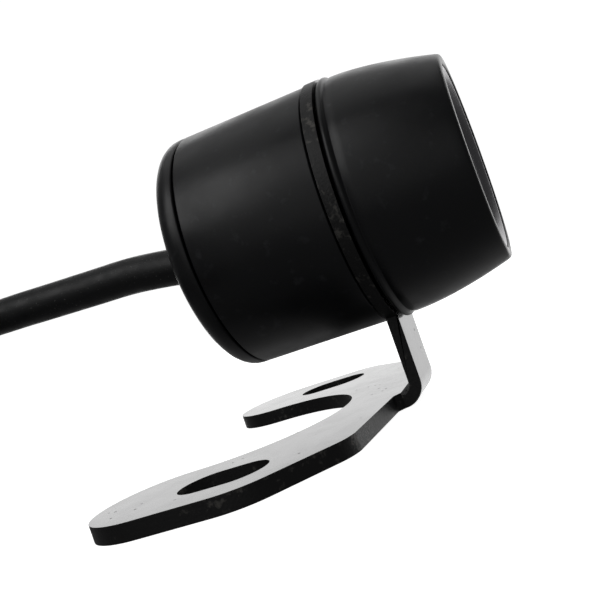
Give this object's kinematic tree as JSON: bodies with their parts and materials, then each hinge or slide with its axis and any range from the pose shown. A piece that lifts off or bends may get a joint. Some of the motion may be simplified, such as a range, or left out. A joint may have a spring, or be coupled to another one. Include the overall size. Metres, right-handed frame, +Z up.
{
  "type": "backup camera",
  "caption": "Wired backup camera: round black barrel clamped in the ring of a bent steel bracket with slotted wings, with a coiled lead ending in a round plug.",
  "frame": {"origin": "centre of the footprint of the bracket and barrel, on the base's underside", "axes": "-Y is the way the lens looks, +Y is the way the cable leaves, +Z is up from the base to the barrel, +X is to the right seen from the lens side"},
  "size_m": [0.0671, 0.1146, 0.0317],
  "materials": {
    "bracket_paint": "semi-gloss black paint over stamped steel",
    "barrel_plastic": "satin moulded ABS",
    "holder_plastic": "moulded nylon",
    "socket_plastic": "moulded nylon",
    "tie_plastic": "plastic-coated strap",
    "seal_rubber": "moulded rubber",
    "plug_seal_rubber": "moulded silicone",
    "plug_plastic": "overmoulded PVC",
    "cable_jacket": "extruded PVC jacket",
    "window_glass": "polished",
    "lens_glass": "coated and polished",
    "anodised_aluminium": "black anodised, turned",
    "sensor_ceramic": "moulded package",
    "circuit_board": "solder mask over glass-epoxy",
    "contact_brass": "gold-plated",
    "screw_steel": "zinc-plated"
  },
  "bodies": {
    "bracket": {"mounting_bracket": "bracket_paint", "camera_cable": "cable_jacket", "cable_coil": "cable_jacket", "cable_tie": "tie_plastic", "connector_tail": "cable_jacket", "connector_relief": "plug_plastic", "connector_body": "plug_plastic", "connector_sleeve": "plug_plastic", "connector_seal": "plug_seal_rubber", "connector_pin_1": "contact_brass", "connector_pin_2": "contact_brass", "connector_pin_3": "contact_brass", "connector_pin_4": "contact_brass"},
    "barrel": {"front_bezel": "barrel_plastic", "rear_housing": "barrel_plastic", "rear_cap": "barrel_plastic", "lens_retaining_ring": "anodised_aluminium", "cover_glass": "window_glass", "window_seal": "seal_rubber", "neck_seal": "seal_rubber", "cable_gland": "seal_rubber", "lens_barrel": "anodised_aluminium", "lens_lock_ring": "anodised_aluminium", "front_lens_element": "lens_glass", "middle_lens_element": "lens_glass", "rear_lens_element": "lens_glass", "lens_holder": "holder_plastic", "ir_filter": "lens_glass", "image_sensor": "sensor_ceramic", "sensor_board": "circuit_board", "power_board": "circuit_board", "board_spacer_left": "contact_brass", "board_spacer_right": "contact_brass", "board_screw_left": "screw_steel", "board_screw_right": "screw_steel", "board_header": "holder_plastic", "filter_capacitor": "screw_steel", "choke_coil": "sensor_ceramic", "cable_socket": "socket_plastic", "lead_wire_1": "cable_jacket", "lead_wire_2": "cable_jacket", "lead_wire_3": "cable_jacket", "lead_wire_4": "cable_jacket", "cable_end": "cable_jacket"}
  },
  "joints": [
    {"name": "barrel_roll", "type": "hinge", "parent": "bracket", "child": "barrel", "pos_m": [0, -0.0077, 0.01975], "axis": [0, 1, 0], "range_deg": [-180, 180]}
  ]
}
